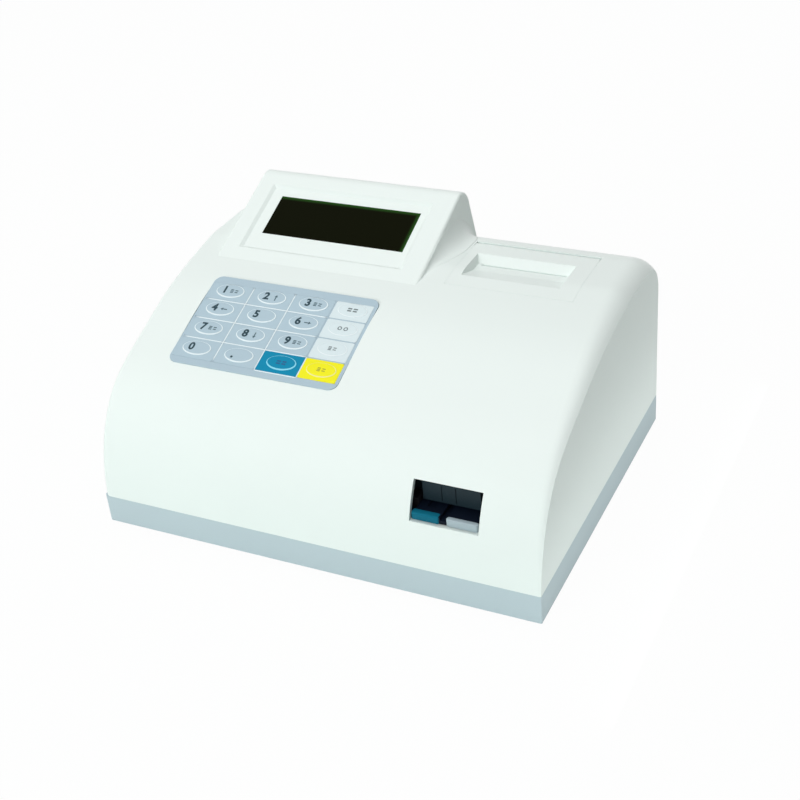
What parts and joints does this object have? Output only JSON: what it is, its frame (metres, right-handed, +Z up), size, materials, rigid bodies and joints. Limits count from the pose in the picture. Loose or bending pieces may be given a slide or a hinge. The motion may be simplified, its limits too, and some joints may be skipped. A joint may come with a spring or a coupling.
{
  "type": "urine analyzer",
  "caption": "Bench urine strip reader with a raised display pod, a keypad, a sliding strip tray in a front port and a thermal printer under a hinged lid.",
  "frame": {"origin": "on the bench, at the middle of the footprint", "axes": "+Z up, -Y the front with the strip port, +X to the right as seen by the user"},
  "size_m": [0.304, 0.234, 0.1603],
  "materials": {
    "cover": "satin gloss off-white moulding",
    "base": "fine matt blue-grey moulding",
    "steel": "bright plated",
    "rubber": "matt black",
    "window": "clear with a dark print",
    "glass": "polished",
    "circuit_board": "green solder mask",
    "keypad": "fine textured film",
    "key_grey": "fine textured film",
    "key_pale": "fine textured film",
    "key_blue": "fine textured film",
    "key_yellow": "fine textured film",
    "black_plastic": "fine spark-eroded",
    "turquoise": "smooth",
    "reference": "smooth",
    "gear_plastic": "natural acetal",
    "slate_plastic": "fine textured slate",
    "paper": "smooth thermal paper",
    "cardboard": "plain",
    "brass": "cut",
    "ceramic": "glazed strip",
    "iron": "varnished laminations",
    "panel_metal": "fine grey paint",
    "switch_plastic": "smooth"
  },
  "bodies": {
    "housing": {"upper_cover": "cover", "base_tray": "base", "case_screws": "steel", "rubber_feet": "rubber", "display_window": "window", "display_bezel": "steel", "display_glass": "glass", "display_board": "circuit_board", "keypad_overlay": "keypad", "keypad_board": "circuit_board", "left_side_plate": "black_plastic", "right_side_plate": "black_plastic", "tray_motor": "steel", "optical_head": "slate_plastic", "optical_lens": "glass", "sensor_board": "circuit_board", "paper_bay": "black_plastic", "lid_hinge_pin": "steel", "paper_spindle": "gear_plastic", "printer_frame": "steel", "printer_motor": "steel", "thermal_head": "ceramic", "main_board": "circuit_board", "transformer": "iron", "rear_panel": "panel_metal", "power_inlet": "black_plastic", "switch_housing": "black_plastic", "fuse_holder": "black_plastic", "serial_socket": "steel"},
    "tray": {"strip_tray": "black_plastic", "strip_plate": "turquoise", "reference_plate": "reference", "tray_rack": "gear_plastic"},
    "tray_drive": {"tray_pinion": "gear_plastic", "tray_motor_shaft": "steel"},
    "lid": {"printer_lid": "cover"},
    "platen": {"platen_rubber": "rubber", "platen_shaft": "steel", "platen_gear": "gear_plastic"},
    "idler": {"idler_gear": "gear_plastic"},
    "printer_motor_rotor": {"motor_pinion": "brass"},
    "roll": {"paper_roll": "paper", "paper_core": "cardboard"},
    "rocker": {"power_rocker": "switch_plastic"},
    "key_0": {"key_0": "key_grey"},
    "key_plain": {"key_plain": "key_grey"},
    "key_blue": {"key_blue": "key_blue"},
    "key_yellow": {"key_yellow": "key_yellow"},
    "key_7": {"key_7": "key_grey"},
    "key_8": {"key_8": "key_grey"},
    "key_9": {"key_9": "key_grey"},
    "key_pale_lower": {"key_pale_lower": "key_pale"},
    "key_4": {"key_4": "key_grey"},
    "key_5": {"key_5": "key_grey"},
    "key_6": {"key_6": "key_grey"},
    "key_pale_middle": {"key_pale_middle": "key_pale"},
    "key_1": {"key_1": "key_grey"},
    "key_2": {"key_2": "key_grey"},
    "key_3": {"key_3": "key_grey"},
    "key_pale_upper": {"key_pale_upper": "key_pale"}
  },
  "joints": [
    {"name": "tray_slide", "type": "slide", "parent": "housing", "child": "tray", "axis": [0, -1, 0], "range_m": [0, 0.07]},
    {"name": "tray_drive_spin", "type": "hinge", "parent": "housing", "child": "tray_drive", "pos_m": [0.09, -0.025, 0.0413], "axis": [1, 0, 0], "range_deg": [0, 510]},
    {"name": "lid_hinge", "type": "hinge", "parent": "housing", "child": "lid", "pos_m": [0.0775, 0.085, 0.1312], "axis": [-1, 0, 0], "range_deg": [0, 85]},
    {"name": "printer_motor_spin", "type": "hinge", "parent": "housing", "child": "printer_motor_rotor", "pos_m": [0.11, 0.074, 0.0856], "axis": [1, 0, 0], "continuous": true},
    {"name": "idler_spin", "type": "hinge", "parent": "housing", "child": "idler", "pos_m": [0.11, 0.074, 0.0985], "axis": [1, 0, 0], "continuous": true},
    {"name": "platen_spin", "type": "hinge", "parent": "housing", "child": "platen", "pos_m": [0.11, 0.074, 0.113], "axis": [1, 0, 0], "continuous": true},
    {"name": "roll_spin", "type": "hinge", "parent": "housing", "child": "roll", "pos_m": [0.075, 0.0495, 0.098], "axis": [1, 0, 0], "continuous": true},
    {"name": "power_switch", "type": "hinge", "parent": "housing", "child": "rocker", "pos_m": [-0.08, 0.112, 0.051], "axis": [1, 0, 0], "range_deg": [0, 18]},
    {"name": "press_key_0", "type": "slide", "parent": "housing", "child": "key_0", "axis": [0, 0.3404, -0.9403], "range_m": [0, 0.00045], "stiffness_N_per_m": 2500},
    {"name": "press_key_plain", "type": "slide", "parent": "housing", "child": "key_plain", "axis": [0, 0.3404, -0.9403], "range_m": [0, 0.00045], "stiffness_N_per_m": 2500},
    {"name": "press_key_blue", "type": "slide", "parent": "housing", "child": "key_blue", "axis": [0, 0.3404, -0.9403], "range_m": [0, 0.00045], "stiffness_N_per_m": 2500},
    {"name": "press_key_yellow", "type": "slide", "parent": "housing", "child": "key_yellow", "axis": [0, 0.3404, -0.9403], "range_m": [0, 0.00045], "stiffness_N_per_m": 2500},
    {"name": "press_key_7", "type": "slide", "parent": "housing", "child": "key_7", "axis": [0, 0.3404, -0.9403], "range_m": [0, 0.00045], "stiffness_N_per_m": 2500},
    {"name": "press_key_8", "type": "slide", "parent": "housing", "child": "key_8", "axis": [0, 0.3404, -0.9403], "range_m": [0, 0.00045], "stiffness_N_per_m": 2500},
    {"name": "press_key_9", "type": "slide", "parent": "housing", "child": "key_9", "axis": [0, 0.3404, -0.9403], "range_m": [0, 0.00045], "stiffness_N_per_m": 2500},
    {"name": "press_key_pale_lower", "type": "slide", "parent": "housing", "child": "key_pale_lower", "axis": [0, 0.3404, -0.9403], "range_m": [0, 0.00045], "stiffness_N_per_m": 2500},
    {"name": "press_key_4", "type": "slide", "parent": "housing", "child": "key_4", "axis": [0, 0.3404, -0.9403], "range_m": [0, 0.00045], "stiffness_N_per_m": 2500},
    {"name": "press_key_5", "type": "slide", "parent": "housing", "child": "key_5", "axis": [0, 0.3404, -0.9403], "range_m": [0, 0.00045], "stiffness_N_per_m": 2500},
    {"name": "press_key_6", "type": "slide", "parent": "housing", "child": "key_6", "axis": [0, 0.3404, -0.9403], "range_m": [0, 0.00045], "stiffness_N_per_m": 2500},
    {"name": "press_key_pale_middle", "type": "slide", "parent": "housing", "child": "key_pale_middle", "axis": [0, 0.3404, -0.9403], "range_m": [0, 0.00045], "stiffness_N_per_m": 2500},
    {"name": "press_key_1", "type": "slide", "parent": "housing", "child": "key_1", "axis": [0, 0.3404, -0.9403], "range_m": [0, 0.00045], "stiffness_N_per_m": 2500},
    {"name": "press_key_2", "type": "slide", "parent": "housing", "child": "key_2", "axis": [0, 0.3404, -0.9403], "range_m": [0, 0.00045], "stiffness_N_per_m": 2500},
    {"name": "press_key_3", "type": "slide", "parent": "housing", "child": "key_3", "axis": [0, 0.3404, -0.9403], "range_m": [0, 0.00045], "stiffness_N_per_m": 2500},
    {"name": "press_key_pale_upper", "type": "slide", "parent": "housing", "child": "key_pale_upper", "axis": [0, 0.3404, -0.9403], "range_m": [0, 0.00045], "stiffness_N_per_m": 2500}
  ],
  "couplings": [
    {"joint": "tray_drive_spin", "follows": "tray_slide", "rad_per_m": 125},
    {"joint": "idler_spin", "follows": "printer_motor_spin", "ratio": -0.6},
    {"joint": "platen_spin", "follows": "printer_motor_spin", "ratio": 0.75},
    {"joint": "roll_spin", "follows": "printer_motor_spin", "ratio": 0.2}
  ]
}
